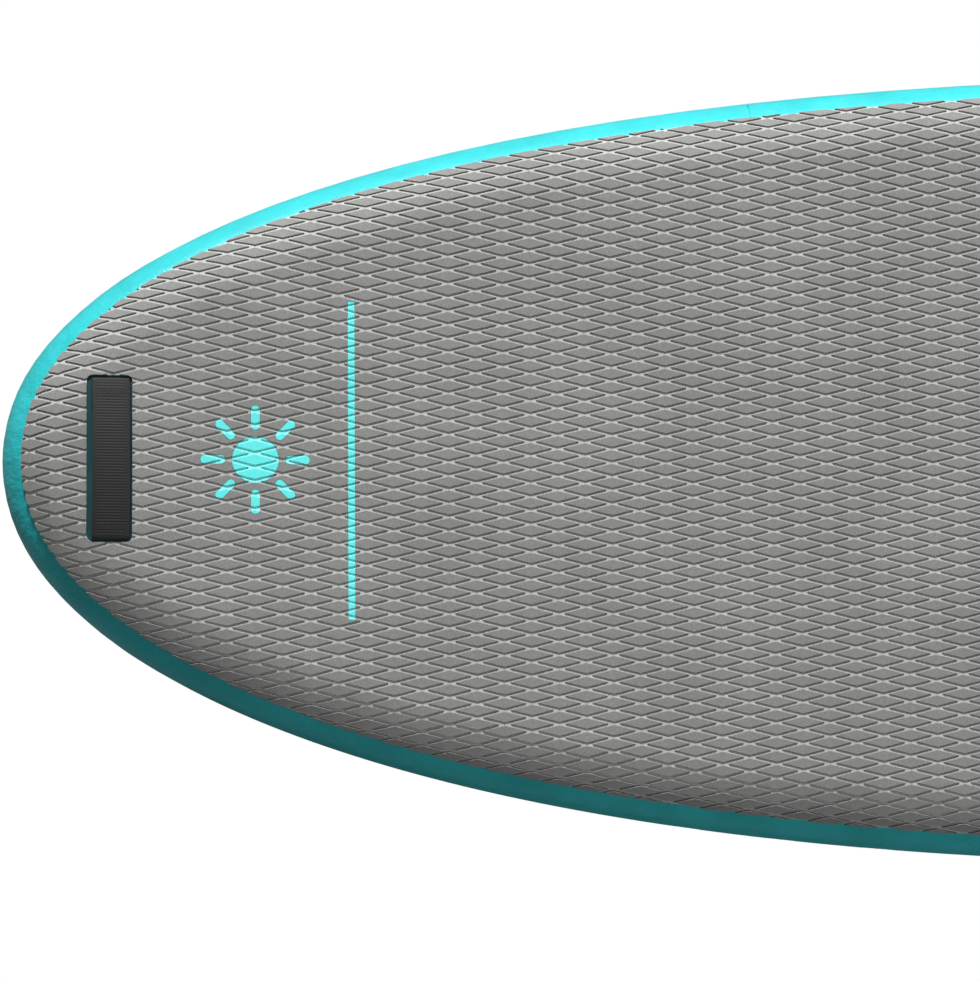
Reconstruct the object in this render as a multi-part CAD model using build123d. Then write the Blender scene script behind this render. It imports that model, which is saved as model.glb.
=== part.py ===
from build123d import *
import os
from math import cos, sin, pi, radians

# Inflatable stand up paddleboard. Millimetres. +X to the nose, +Y to port, +Z up out of the deck.
# The origin is on the flat of the bottom, on the centre line, half way along the board.
# The board is drawn level and every height is then lifted by rise(x), the curve of the bottom.

# Board
board_length = 3048.0
board_width = 864.0
board_thickness = 152.0
wide_point_from_nose = 1500.0
nose_fullness = 2.41
nose_bluntness = 2.10
tail_fullness = 2.90
tail_bluntness = 2.25
nose_rise = 116.0
nose_rise_length = 1330.0
tail_rise = 28.0
tail_rise_length = 520.0
rise_power = 2.29

# Laminate. The rails are a half round as high as the board is thick.
skin = 1.0
rail_band = 1.2
glue_line = 0.45
tape = 0.8
butt_gap = 0.6
tape_overlap = 25.0         # how far the tape runs in over the flat skin
tape_rail_angle = 76.0      # how far it runs down the rail, from the top of the half round
tape_joint_from_nose = 790.0
tape_joint_gap = 1.0
thread_row_pitch = 150.0
thread_row = 0.8

# Deck pad
pad = 5.0
pad_rail_angle = 40.0       # how far the pad rolls over the rail
inlay_clearance = 0.15
line_from_nose = 361.0
line_length = 331.0
line_width = 7.0
mark_from_nose = 262.0
mark_disc_radius = 24.0
mark_ray_width = 9.0
mark_ray_start = 31.0
mark_ray_end = 56.0
mark_rays = 8

# Webbing handles
webbing = 2.2
strap_width = 38.0
end_handle_length = 165.0
end_handle_rise = 8.0
nose_handle_from_nose = 114.0
tail_handle_from_tail = 118.0
centre_handle_length = 260.0
centre_handle_rise = 16.0
strap_foot = 26.0
fold_radius = 2.6
opening_margin = 3.0
patch_margin = 9.0
grip_length = 120.0
grip_wall = 3.0
grip_clearance = 0.3

# Valve
valve_from_tail = 549.0
valve_off_centre = 120.0
valve_neck_radius = 21.0
valve_wall = 2.5
valve_flange_radius = 31.0
valve_flange = 3.0
valve_depth = 30.0
valve_collar_radius = 23.0
valve_collar_height = 8.0
valve_seat_radius = 11.0
valve_seat = 3.0
stem_radius = 3.0
stem_clearance = 0.05
stem_button_radius = 7.0
stem_disc_radius = 14.0
stem_travel = 6.0
guide_radius = 6.0
guide_depth = 8.0
guide_height = 6.0
spring_wire_radius = 0.4
spring_radius = 4.6
spring_turns = 3.0
seal = 1.2
valve_gasket = 1.5
nut_radius = 33.0
nut_height = 7.0
thread_clearance = 0.2
valve_opening_margin = 14.0
cap_wall = 2.4
cap_top = 3.0
cap_clearance = 0.4
cap_ribs = 12
cap_rib_radius = 0.9
cap_button_radius = 4.0
cap_button_head = 1.6
tether = 1.4
tether_width = 9.0
tether_gap = 0.3

# Rings
ring_wire_radius = 2.0
ring_radius = 15.0
ring_clearance = 0.06
loop_wall = 1.5
loop_width = 24.0
loop_tail = 24.0
leash_ring_from_tail = 230.0
tow_ring_from_nose = 170.0
ring_patch_radius = 40.0
ring_opening_radius = 33.0

# Centre fin and its box
fin_box_from_tail = 330.0
fin_box_length = 270.0
fin_box_width = 46.0
fin_box_height = 27.0
fin_box_flange = 3.0
fin_box_flange_margin = 16.0
slot_length = 250.0
slot_width = 9.6
slot_depth = 22.0
groove_depth = 2.6
groove_height = 4.4
groove_from_mouth = 14.0
notch_length = 14.0
notch_from_middle = 30.0
fin_clearance = 0.2
fin_tab_length = 172.0
fin_tongue_length = 26.0
fin_depth = 200.0
fin_base_chord = 150.0
fin_base_aft = 14.0
fin_tip_chord = 60.0
fin_rake = 95.0
fin_base_foil = 8.6
fin_tip_foil = 3.4
pin_radius = 2.0
fixing_from_tab_end = 12.0
fixing_clearance = 0.05
nut_plate_length = 12.0
nut_plate = 3.4
screw_radius = 2.0
knob_radius = 8.0
knob_height = 7.0
knob_lobes = 8

# Side fins
side_fin_from_tail = 430.0
side_fin_off_centre = 185.0
side_fin_base_length = 150.0
side_fin_base_width = 48.0
side_fin_flange = 2.5
side_fin_depth = 108.0
side_fin_chord = 112.0
side_fin_tip_chord = 38.0
side_fin_rake = 58.0
side_fin_foil = 7.0
side_fin_tip_foil = 3.0
side_fin_cant = 5.0

half_length = board_length / 2
rail_radius = board_thickness / 2
middle_height = board_thickness / 2
layer_top = glue_line + tape            # outside of the tapes and patches
on_layer = layer_top + glue_line        # underside of what lies on a tape or a patch
pad_top = glue_line + pad
far = board_width                       # long enough to pass right through the board


# ---------------------------------------------------------------- board shape
def half_width(run, length, fullness, bluntness):
    """Half width of the plan shape at a distance run in from its end."""
    return board_width / 2 * (1 - (1 - run / length) ** fullness) ** (1 / bluntness)


def quarter(length, fullness, bluntness, count=8):
    """Points of one quarter of the plan shape, close together where it turns fastest."""
    runs = [length * (i / count) ** 2.2 for i in range(1, count)]
    return [(run, half_width(run, length, fullness, bluntness)) for run in runs]


def closed_curve(port):
    """Smooth closed curve through points from the tail's middle round by port to the nose's, and
    through their mirror images. It starts at the widest place to starboard, where it is straight."""
    starboard = [(x, -y) for x, y in reversed(port[1:-1])]
    loop, start = port + starboard, len(port) + len(starboard) // 2
    return Spline(*loop[start:] + loop[:start], periodic=True).edge()


def plan_port():
    """The port half of the plan shape, as a curve from the tail to the nose."""
    nose = quarter(wide_point_from_nose, nose_fullness, nose_bluntness)
    tail = quarter(board_length - wide_point_from_nose, tail_fullness, tail_bluntness)
    port = [(-half_length, 0)] + [(run - half_length, y) for run, y in tail]
    port += [(half_length - wide_point_from_nose, board_width / 2)]
    port += [(half_length - run, y) for run, y in reversed(nose)] + [(half_length, 0)]
    whole = closed_curve(port)
    ends = [whole.param_at_point(Vector(x, 0, 0)) for x in (-half_length, half_length)]
    return whole.trim(*ends)


plan = plan_port()

# Places along that curve, closest together at its two ends.
place_count = 32
places = [(1 - cos(pi * i / place_count)) / 2 for i in range(place_count + 1)]


def outward_at(place, along):
    """Unit vector square to the plan shape, pointing out of the board."""
    square = Vector(-along.Y, along.X, 0).normalized()
    return square if (place + square).length > place.length else -square


def outline(inward):
    """Face inside the plan shape, a distance in from it all round."""
    points = []
    for u in places:
        place, along = plan @ u, plan % u
        point = place - outward_at(place, along) * inward
        points.append((point.X, point.Y))
    return Face(Wire([closed_curve(points)]))


def rise(x):
    """Height of the bottom's centre line over its flat."""
    nose = max(nose_rise_length - half_length + x, 0) / nose_rise_length
    tail = max(tail_rise_length - half_length - x, 0) / tail_rise_length
    return nose_rise * nose ** rise_power + tail_rise * tail ** rise_power


def rise_line(height, beyond=150.0):
    """Side view of a sheet at a height over the bottom: curved tail, flat middle, curved nose."""
    flat_aft, flat_fore = tail_rise_length - half_length, half_length - nose_rise_length
    aft = [-half_length - beyond] + [flat_aft - tail_rise_length * (1 - i / 4) for i in range(4)]
    fore = [flat_fore + nose_rise_length * i / 6 for i in range(1, 7)] + [half_length + beyond]
    low = [Vector(x, rise(x) + height) for x in aft] + [Vector(flat_aft, height)]
    high = [Vector(flat_fore, height)] + [Vector(x, rise(x) + height) for x in fore]
    tail_curve = Spline(*low, tangents=[(low[1] - low[0]).normalized(), (1, 0)],
                        tangent_scalars=[1, 1])
    nose_curve = Spline(*high, tangents=[(1, 0), (high[-1] - high[-2]).normalized()],
                        tangent_scalars=[1, 1])
    return [tail_curve.edge(), Edge.make_line(low[-1], high[0]), nose_curve.edge()]


def band(low, high):
    """All that lies between two heights over the bottom, following the board's rise."""
    under, over = rise_line(low), rise_line(high)
    ends = [Edge.make_line(under[0] @ 0, over[0] @ 0), Edge.make_line(under[2] @ 1, over[2] @ 1)]
    return extrude(Plane.XZ * Face(Wire(under + over + ends)), amount=far, both=True)


def prism(face):
    """A plan face run right through the board."""
    return extrude(face, amount=far, both=True)


def sheet(face, low, high):
    """A sheet with a plan shape, between two heights over the bottom."""
    return one(prism(face) & band(low, high))


def one(shape):
    """The largest solid of a result."""
    return max(shape.solids(), key=lambda solid: solid.volume)


# ---------------------------------------------------------------- round the rail
def rail_point(u, angle, radius, run=0.0):
    """Point on the port rail at u along the plan curve: angle from straight up over the half round's
    middle, radius from it, and run in from there over the flat."""
    place, along = plan @ u, plan % u
    turn = radians(angle)
    spot = place + outward_at(place, along) * (radius * sin(turn) - rail_radius - run)
    return Vector(spot.X, spot.Y, rail_radius + radius * cos(turn) + rise(spot.X))


def rail_arc(u, start, end, radius, count=15):
    return Edge.make_spline([rail_point(u, start + (end - start) * i / (count - 1), radius)
                             for i in range(count)])


def rail_section(u, start, end, inner, outer, run):
    """A strip's section, from run in over the flat, or from start, round the rail to end."""
    outside, inside = rail_arc(u, start, end, outer), rail_arc(u, end, start, inner)
    close = Edge.make_line(outside @ 1, inside @ 0)
    if run == 0:
        return Wire([outside, close, inside, Edge.make_line(inside @ 1, outside @ 0)])
    top, foot = rail_point(u, start, outer, run), rail_point(u, start, inner, run)
    flats = [Edge.make_line(top, outside @ 0), Edge.make_line(inside @ 1, foot), Edge.make_line(foot, top)]
    return Wire([flats[0], outside, close, inside, flats[1], flats[2]])


def port_strip(start, end, inner, outer, run=0.0):
    """A strip of the port rail from the middle of the tail to the middle of the nose."""
    return Solid.make_loft([rail_section(u, start, end, inner, outer, run) for u in places], False)


def starboard_of(shape):
    return mirror(shape, Plane.XZ)


def deck_plane(x, y=0.0):
    """Plane on the deck, local X towards the nose and local Z out of the deck."""
    slope = (rise(x + 1) - rise(x - 1)) / 2
    return Plane(origin=(x, y, rise(x) + board_thickness), x_dir=(1, 0, slope), z_dir=(-slope, 0, 1))


def bottom_plane(x, y=0.0, reach=1.0):
    """Plane on the bottom, local X towards the nose and local Z out of the bottom."""
    ahead, behind = rise(x + reach), rise(x - reach)
    slope = (ahead - behind) / 2 / reach
    return Plane(origin=(x, y, (ahead + behind) / 2), x_dir=(1, 0, slope), z_dir=(slope, 0, -1))


def ring_solid(inner, outer, low, high):
    """A round ring between two heights."""
    return Pos(0, 0, (low + high) / 2) * (Cylinder(outer, high - low) - Cylinder(inner, high - low))


def disc(radius, low, high):
    return Pos(0, 0, (low + high) / 2) * Cylinder(radius, high - low)


def block(length, width, low, high, x=0.0, y=0.0):
    return Pos(x, y, (low + high) / 2) * Box(length, width, high - low)


def lens(chord, thickness):
    """A foil section: two arcs that meet in a sharp leading and trailing edge."""
    nose, tail, bulge = (chord / 2, 0), (-chord / 2, 0), thickness / 2
    sides = [ThreePointArc(nose, (0, bulge), tail), ThreePointArc(tail, (0, -bulge), nose)]
    return Face(Wire([side.edge() for side in sides]))


# ---------------------------------------------------------------- places
nose_handle_x = half_length - nose_handle_from_nose
tail_handle_x = tail_handle_from_tail - half_length
valve_x = valve_from_tail - half_length
leash_x = leash_ring_from_tail - half_length
tow_x = half_length - tow_ring_from_nose
fin_plane = bottom_plane(fin_box_from_tail - half_length, reach=fin_box_length / 2)
side_fin_x = side_fin_from_tail - half_length
tape_inner_edge = rail_radius + tape_overlap


def end_opening(x):
    size = strap_width + 2 * opening_margin + 2, end_handle_length + 2 * opening_margin
    return Pos(x, 0) * RectangleRounded(*size, 6)


def centre_opening():
    size = centre_handle_length + 2 * opening_margin, strap_width + 4 * opening_margin
    return RectangleRounded(*size, 6)


def pad_openings():
    return [
        end_opening(nose_handle_x),
        end_opening(tail_handle_x),
        centre_opening(),
        Pos(valve_x, valve_off_centre) * Circle(valve_flange_radius + valve_opening_margin),
        Pos(leash_x, 0) * Circle(ring_opening_radius),
    ]


def deck_patch_faces():
    return {
        "nose_handle_patch": offset(end_opening(nose_handle_x), patch_margin),
        "tail_handle_patch": offset(end_opening(tail_handle_x), patch_margin),
        "centre_handle_patch": offset(centre_opening(), patch_margin),
        "leash_ring_patch": Pos(leash_x, 0) * Circle(ring_patch_radius),
    }


def side_fin_base(margin=0.0):
    return RectangleRounded(side_fin_base_length + 2 * margin, side_fin_base_width + 2 * margin,
                            side_fin_base_width / 2 - 1)


def bottom_patch_faces():
    flange = 2 * (fin_box_flange_margin + patch_margin)
    box = RectangleRounded(fin_box_length + flange, fin_box_width + flange, fin_box_width / 2)
    faces = {
        "tow_ring_patch": Pos(tow_x, 0) * Circle(ring_patch_radius),
        "fin_box_patch": Pos(fin_plane.origin.X, 0) * box,
    }
    for name, side in (("port", 1), ("starboard", -1)):
        faces[f"side_fin_patch_{name}"] = Pos(side_fin_x, side * side_fin_off_centre) * side_fin_base(patch_margin)
    return faces


# ---------------------------------------------------------------- laminate
def skins():
    inside = outline(rail_radius + butt_gap)
    deck = sheet(inside, board_thickness - skin, board_thickness)
    hole = Pos(valve_x, valve_off_centre) * Circle(valve_neck_radius + thread_clearance)
    rail = port_strip(0, 180, rail_radius - rail_band, rail_radius)
    return {
        "deck_skin": one(deck - prism(hole)),
        "bottom_skin": sheet(inside, 0, skin),
        "rail_band_port": rail,
        "rail_band_starboard": starboard_of(rail),
    }


def seam_tapes():
    """Tapes over the joints between the skins and the rails. The upper one on starboard is two
    lengths whose ends meet at a butt joint."""
    radii = rail_radius + glue_line, rail_radius + layer_top
    over = port_strip(0, tape_rail_angle, *radii, tape_overlap)
    under = port_strip(180, 180 - tape_rail_angle, *radii, tape_overlap)
    joint = Pos(half_length - tape_joint_from_nose, -far / 2, 0) * Box(tape_joint_gap, far, 2 * far)
    over_starboard = (starboard_of(over) - joint).solids()
    return {
        "seam_tape_upper_port": over,
        "seam_tape_upper_starboard": Compound(over_starboard),
        "seam_tape_lower_port": under,
        "seam_tape_lower_starboard": starboard_of(under),
    }


def thread_rows():
    """Rows of threads that tie the deck to the bottom, each shown as a thin web. Rows that would
    pass through the valve are left out."""
    low, high = skin + glue_line, board_thickness - skin - glue_line
    inside = prism(outline(rail_radius + butt_gap)) & band(low, high)
    count = int(board_length / thread_row_pitch) - 1
    stations = [(i - (count - 1) / 2) * thread_row_pitch for i in range(count)]
    clear = [x for x in stations if abs(x - valve_x) > nut_radius + rail_band]
    rows = [one(inside & Pos(x, 0, 0) * Box(thread_row, 2 * far, 2 * far)) for x in clear]
    return {"drop_stitch_thread_rows": Compound(rows)}


# ---------------------------------------------------------------- deck pad
def mark_faces():
    """A plain sun: a disc with short rays round it."""
    length, middle = mark_ray_end - mark_ray_start, (mark_ray_end + mark_ray_start) / 2
    ray = Pos(middle, 0) * RectangleRounded(length, mark_ray_width, mark_ray_width / 2 - 0.5)
    rays = [Rot(0, 0, 360 * i / mark_rays) * ray for i in range(mark_rays)]
    return [Pos(half_length - mark_from_nose, 0) * face for face in [Circle(mark_disc_radius)] + rays]


def line_face():
    return Pos(half_length - line_from_nose, 0) * Rectangle(line_width, line_length)


def deck_pad():
    """The foam pad: the flat sheet, and the edge that lies on the tape and rolls over each rail."""
    low, high = board_thickness + glue_line, board_thickness + pad_top
    flat = sheet(outline(tape_inner_edge + butt_gap), low, high)
    edge = port_strip(0, pad_rail_angle, rail_radius + on_layer, rail_radius + pad_top, tape_overlap)
    openings = [Pos(0, 0, far + middle_height) * prism(face) for face in pad_openings()]
    beds = band(0, board_thickness + on_layer)
    for face in deck_patch_faces().values():
        flat = flat - (prism(offset(face, glue_line)) & beds)
    inlays = {"pad_inlay_line": [line_face()], "pad_inlay_mark": mark_faces()}
    cuts = [prism(offset(face, inlay_clearance)) for faces in inlays.values() for face in faces]
    for cut in openings + cuts:
        flat = flat - cut
    for opening in openings[:2]:
        edge = edge - opening
    parts = {
        "deck_pad": one(flat),
        "deck_pad_edge_port": one(edge),
        "deck_pad_edge_starboard": starboard_of(one(edge)),
    }
    for name, faces in inlays.items():
        pieces = [sheet(face, low, high) for face in faces]
        parts[name] = Compound(pieces)
    return parts


# ---------------------------------------------------------------- handles
def arch_radius(length, height):
    """Radius of the arc that a strap makes between its folds."""
    half = length / 2 - fold_radius - webbing / 2
    return (half ** 2 + height ** 2) / (2 * height)


def strap(length, height):
    """Webbing folded under at both ends. Local Y along the strap, local Z out of the deck."""
    fold = length / 2 - fold_radius - webbing / 2
    centre, shoulder = on_layer + webbing / 2 + fold_radius, on_layer + webbing / 2 + 2 * fold_radius
    crown = shoulder + height

    def side(offset_out):
        """One face of the webbing, from one foot to the other."""
        reach = fold_radius + offset_out
        foot, top = centre - reach, shoulder + offset_out
        arcs = [
            Edge.make_line((fold - strap_foot, foot), (fold, foot)),
            Edge.make_three_point_arc((fold, foot), (fold + reach, centre), (fold, top)),
            Edge.make_three_point_arc((fold, top), (0, crown + offset_out), (-fold, top)),
            Edge.make_three_point_arc((-fold, top), (-fold - reach, centre), (-fold, foot)),
            Edge.make_line((-fold, foot), (strap_foot - fold, foot)),
        ]
        return arcs

    outside, inside = side(webbing / 2), side(-webbing / 2)
    ends = [Edge.make_line(outside[0] @ 0, inside[0] @ 0), Edge.make_line(outside[-1] @ 1, inside[-1] @ 1)]
    return extrude(Plane.YZ * Face(Wire(outside + inside + ends)), amount=strap_width / 2, both=True)


def grip():
    """Sleeve round the middle of the centre handle's strap, bent to the strap's arc."""
    radius = arch_radius(centre_handle_length, centre_handle_rise)
    crown = on_layer + webbing / 2 + 2 * fold_radius + centre_handle_rise
    hole, outside = webbing / 2 + grip_clearance, webbing / 2 + grip_clearance + grip_wall

    def shell(thickness, width):
        arc = Circle(radius + thickness) - Circle(radius - thickness)
        return extrude(Plane.YZ * (Pos(0, crown - radius) * arc), amount=width / 2, both=True)

    sleeve = shell(outside, strap_width + 2 * (grip_clearance + grip_wall))
    sleeve = sleeve - shell(hole, strap_width + 2 * grip_clearance)
    return one(sleeve & Pos(0, 0, crown) * Box(2 * strap_width, grip_length, radius))


def handles():
    end_strap = strap(end_handle_length, end_handle_rise)
    lengthwise = Rot(0, 0, 90)
    middle = deck_plane(0).location * lengthwise
    return {
        "nose_handle_webbing": deck_plane(nose_handle_x).location * end_strap,
        "tail_handle_webbing": deck_plane(tail_handle_x).location * end_strap,
        "centre_handle_webbing": middle * strap(centre_handle_length, centre_handle_rise),
        "centre_handle_grip": middle * grip(),
    }


def patches():
    """Reinforcing patches, cut back where the seam tape already lies."""
    parts = {}
    inside = outline(tape_inner_edge + butt_gap)
    over = prism(inside) & band(board_thickness + glue_line, board_thickness + layer_top)
    under = prism(inside) & band(-layer_top, -glue_line)
    for name, face in deck_patch_faces().items():
        parts[name] = one(over & prism(face))
    for name, face in bottom_patch_faces().items():
        parts[name] = one(under & prism(face))
    return parts


# ---------------------------------------------------------------- valve
collar_top = glue_line + valve_flange + valve_collar_height
gasket_top = collar_top + glue_line + seal
cap_under = gasket_top + glue_line
cap_over = cap_under + cap_top
cap_radius = valve_collar_radius + cap_clearance + cap_wall
tether_low = glue_line + valve_flange + tether_gap
tether_high = cap_over + tether_gap
tether_reach = cap_radius + cap_rib_radius + 2 * tether


def valve_body():
    bore = valve_neck_radius - valve_wall
    body = disc(valve_flange_radius, glue_line, glue_line + valve_flange)
    body = body + disc(valve_neck_radius, -valve_depth, glue_line + valve_flange)
    body = body + disc(valve_collar_radius, glue_line + valve_flange, collar_top)
    body = body - disc(bore, valve_seat - valve_depth, collar_top)
    body = body - disc(valve_seat_radius, -valve_depth, 0)
    hub_low = -guide_depth - guide_height
    hub = disc(guide_radius, hub_low, -guide_depth)
    for i in range(3):
        hub = hub + Rot(0, 0, 120 * i) * block(bore + 1, 3, hub_low, -guide_depth, x=(bore + 1) / 2)
    return body + (hub - disc(stem_radius + stem_clearance, hub_low, -guide_depth))


def valve_stem():
    seal_low = -valve_depth - glue_line - seal
    stem = disc(stem_radius, seal_low - glue_line, glue_line + 2)
    stem = stem + disc(stem_button_radius, glue_line + 2, glue_line + 5)
    return stem + disc(stem_disc_radius, seal_low - glue_line - 2, seal_low - glue_line)


def valve_spring():
    low, high = -guide_depth + glue_line, 2.0
    height = high - low - 2 * spring_wire_radius
    path = Helix(pitch=height / spring_turns, height=height, radius=spring_radius)
    section = Plane(path @ 0, z_dir=path % 0) * Circle(spring_wire_radius)
    return Pos(0, 0, low + spring_wire_radius) * sweep(section, path, is_frenet=True)


def valve_cap():
    """Screw cap: it closes over the collar and carries a button that its tether is clipped round."""
    skirt_low = tether_low + tether + tether_gap
    cap = disc(cap_radius, skirt_low, cap_over) - disc(cap_radius - cap_wall, skirt_low, cap_under)
    for i in range(cap_ribs):
        rib = Pos(cap_radius, 0, (skirt_low + cap_over) / 2) * Cylinder(cap_rib_radius, cap_over - skirt_low)
        cap = cap + Rot(0, 0, 360 * i / cap_ribs) * rib
    head = tether_high + tether + tether_gap
    cap = cap + disc(cap_button_radius, cap_over, head)
    return cap + disc(cap_button_radius + cap_button_head, head, head + cap_button_head)


def cap_tether():
    """Strap with a ring round the valve's collar and a ring under the cap's button."""
    ring_inner, ring_outer = valve_collar_radius + tether_gap, valve_collar_radius + tether_gap + 4
    arm = tether_reach - ring_outer + 1
    lower = ring_solid(ring_inner, ring_outer, tether_low, tether_low + tether)
    lower = lower + block(arm, tether_width, tether_low, tether_low + tether, x=ring_outer - 1 + arm / 2)
    side = block(tether, tether_width, tether_low, tether_high + tether, x=tether_reach - tether / 2)
    upper = block(tether_reach, tether_width, tether_high, tether_high + tether, x=tether_reach / 2)
    upper = upper + disc(cap_button_radius + 3.5, tether_high, tether_high + tether)
    upper = upper - disc(cap_button_radius + 2 * stem_clearance, tether_high, tether_high + tether)
    return lower + side + upper


def valve():
    neck = valve_neck_radius + thread_clearance
    gasket_high = -skin - glue_line
    nut_high = gasket_high - valve_gasket - glue_line
    seal_high = -valve_depth - glue_line
    pieces = {
        "valve_body": valve_body(),
        "valve_gasket": ring_solid(neck, valve_flange_radius, gasket_high - valve_gasket, gasket_high),
        "valve_nut": ring_solid(neck, nut_radius, nut_high - nut_height, nut_high),
        "valve_stem": valve_stem(),
        "valve_seal": ring_solid(stem_radius + glue_line, stem_disc_radius, seal_high - seal, seal_high),
        "valve_spring": valve_spring(),
        "valve_cap": valve_cap(),
        "valve_cap_gasket": ring_solid(valve_neck_radius - valve_wall, valve_collar_radius,
                                       collar_top + glue_line, gasket_top),
        "valve_cap_tether": cap_tether(),
    }
    place = Pos(valve_x, valve_off_centre, board_thickness + rise(valve_x))
    return {name: place * piece for name, piece in pieces.items()}


# ---------------------------------------------------------------- rings
ring_axis_height = on_layer + loop_wall + ring_clearance + ring_wire_radius


def ring():
    """A D-ring: its bar along local Y at the origin, its bow towards local -X."""
    bow = Torus(ring_radius, ring_wire_radius) & Pos(-ring_radius * 2, 0, 0) * Box(
        4 * ring_radius, 4 * ring_radius, 4 * ring_radius)
    bar = Rot(90, 0, 0) * Cylinder(ring_wire_radius, 2 * ring_radius)
    corners = [Pos(0, side * ring_radius, 0) * Sphere(ring_wire_radius) for side in (-1, 1)]
    return bow + bar + corners[0] + corners[1]


def ring_loop():
    """Webbing folded round a ring's bar, its tail on the patch, local Z out of the board."""
    fold = Pos(0, 0, ring_axis_height) * Rot(90, 0, 0) * Cylinder(
        ring_wire_radius + ring_clearance + loop_wall, loop_width)
    tail = block(loop_tail, loop_width, on_layer, on_layer + loop_wall - glue_line, x=-loop_tail / 2)
    hole = Pos(0, 0, ring_axis_height) * Rot(90, 0, 0) * Cylinder(ring_wire_radius + ring_clearance, loop_width)
    return fold + tail - hole


def rings():
    """The leash ring lies back on the deck. The tow ring hangs straight down under the nose."""
    deck, bottom = deck_plane(leash_x), bottom_plane(tow_x)
    hang = bottom.from_local_coords((0, 0, ring_axis_height))
    return {
        "leash_ring_loop": deck.location * ring_loop(),
        "leash_ring": deck.location * Pos(0, 0, ring_axis_height) * ring(),
        "tow_ring_loop": bottom.location * ring_loop(),
        "tow_ring": Pos(hang) * Rot(0, -90, 0) * ring(),
    }


# ---------------------------------------------------------------- fins
slot_floor = fin_box_height - slot_depth
groove_middle = fin_box_height - groove_from_mouth - groove_height / 2
fixing_x = fin_tab_length / 2 - fixing_from_tab_end
below = -on_layer                       # height of the surface that bottom fittings sit on


def fin_box():
    """Moulded box with a slot, and grooves in the slot's sides that the pin and nut run in."""
    plate = RectangleRounded(fin_box_length + 2 * fin_box_flange_margin,
                             fin_box_width + 2 * fin_box_flange_margin, fin_box_width / 3)
    box = extrude(RectangleRounded(fin_box_length, fin_box_width, fin_box_width / 4), amount=fin_box_height)
    box = box + Pos(0, 0, -fin_box_height) * extrude(
        RectangleRounded(fin_box_length, fin_box_width, fin_box_width / 4), amount=fin_box_height + 1)
    wide = slot_width + 2 * groove_depth
    box = box - block(slot_length, slot_width, slot_floor, fin_box_height + 1)
    box = box - block(slot_length, wide, groove_middle - groove_height / 2, groove_middle + groove_height / 2)
    box = box - block(notch_length, wide, groove_middle, fin_box_height + 1, x=notch_from_middle)
    flange = prism(Pos(fin_plane.origin.X, 0) * plate) & band(below - fin_box_flange, middle_height)
    flange = flange - fin_plane.location * block(slot_length, wide, slot_floor, fin_box_height + 1)
    return one((fin_plane.location * box + flange) & band(-far, below))


def centre_fin():
    tab_width = slot_width - 2 * fin_clearance
    tab_low, mouth = slot_floor + 5 * fin_clearance, fin_box_height
    plate_top = groove_middle + nut_plate / 2 + fin_clearance
    tab = block(fin_tab_length, tab_width, tab_low, mouth)
    front = fin_tab_length / 2 - fin_tongue_length / 2
    tab = tab - block(fin_tongue_length, tab_width, tab_low, plate_top, x=front)
    depths = (mouth - 1, mouth + fin_depth * 0.55, mouth + fin_depth)
    chords = (fin_base_chord, (fin_base_chord + fin_tip_chord) / 2 + 4, fin_tip_chord)
    foils = (fin_base_foil, (fin_base_foil + fin_tip_foil) / 2, fin_tip_foil)
    backs = (0, fin_rake * 0.42, fin_rake)
    sections = [Pos(-fin_base_aft - back, 0, depth) * lens(chord, foil)
                for depth, chord, foil, back in zip(depths, chords, foils, backs)]
    blade = Solid.make_loft([section.outer_wire() for section in sections], False)
    hole = Pos(-fixing_x, 0, groove_middle) * Rot(90, 0, 0) * Cylinder(pin_radius + fixing_clearance, slot_width)
    screw_hole = Pos(fixing_x, 0, 0) * disc(screw_radius + fixing_clearance, tab_low, mouth)
    return tab + blade - hole - screw_hole


def fin_screw():
    knob_low = fin_box_height + 0.5
    screw = disc(screw_radius, groove_middle - nut_plate, knob_low + 1)
    knob = disc(knob_radius - 1, knob_low, knob_low + knob_height)
    for i in range(knob_lobes):
        knob = knob + Rot(0, 0, 360 * i / knob_lobes) * Pos(knob_radius - 2, 0, 0) * disc(
            2, knob_low, knob_low + knob_height)
    return screw + knob


def fins():
    reach = slot_width + 2 * groove_depth - 3 * fin_clearance
    plate = block(nut_plate_length, reach, groove_middle - nut_plate / 2, groove_middle + nut_plate / 2)
    pieces = {
        "centre_fin": centre_fin(),
        "fin_roll_pin": Pos(-fixing_x, 0, groove_middle) * Rot(90, 0, 0) * Cylinder(pin_radius, reach),
        "fin_nut_plate": Pos(fixing_x, 0, 0) * (plate - disc(screw_radius + fixing_clearance, 0, fin_box_height)),
        "fin_screw": Pos(fixing_x, 0, 0) * fin_screw(),
    }
    parts = {name: fin_plane.location * piece for name, piece in pieces.items()}
    parts["fin_box"] = fin_box()
    return parts


def side_fin(side):
    """Soft moulded fin on its own base, leaning out a little."""
    sections = [
        Pos(0, 0, 8) * lens(side_fin_chord, side_fin_foil),
        Pos(-side_fin_rake, 0, -side_fin_depth) * lens(side_fin_tip_chord, side_fin_tip_foil),
    ]
    blade = Solid.make_loft([section.outer_wire() for section in sections], True)
    blade = Pos(side_fin_x, side * side_fin_off_centre, 0) * Rot(side * side_fin_cant, 0, 0) * blade
    base = prism(Pos(side_fin_x, side * side_fin_off_centre) * side_fin_base())
    base = base & band(below - side_fin_flange, middle_height)
    return one((base + blade) & band(-far, below))


def side_fins():
    return {"side_fin_port": side_fin(1), "side_fin_starboard": side_fin(-1)}


# ---------------------------------------------------------------- output
def main():
    os.makedirs("parts", exist_ok=True)
    parts = {}
    for build in (skins, seam_tapes, thread_rows, deck_pad, handles, patches, valve, rings, fins, side_fins):
        parts.update(build())
    for name, shape in parts.items():
        export_step(shape, f"parts/{name}.step")


if __name__ == "__main__":
    main()
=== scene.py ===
import math

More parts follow.
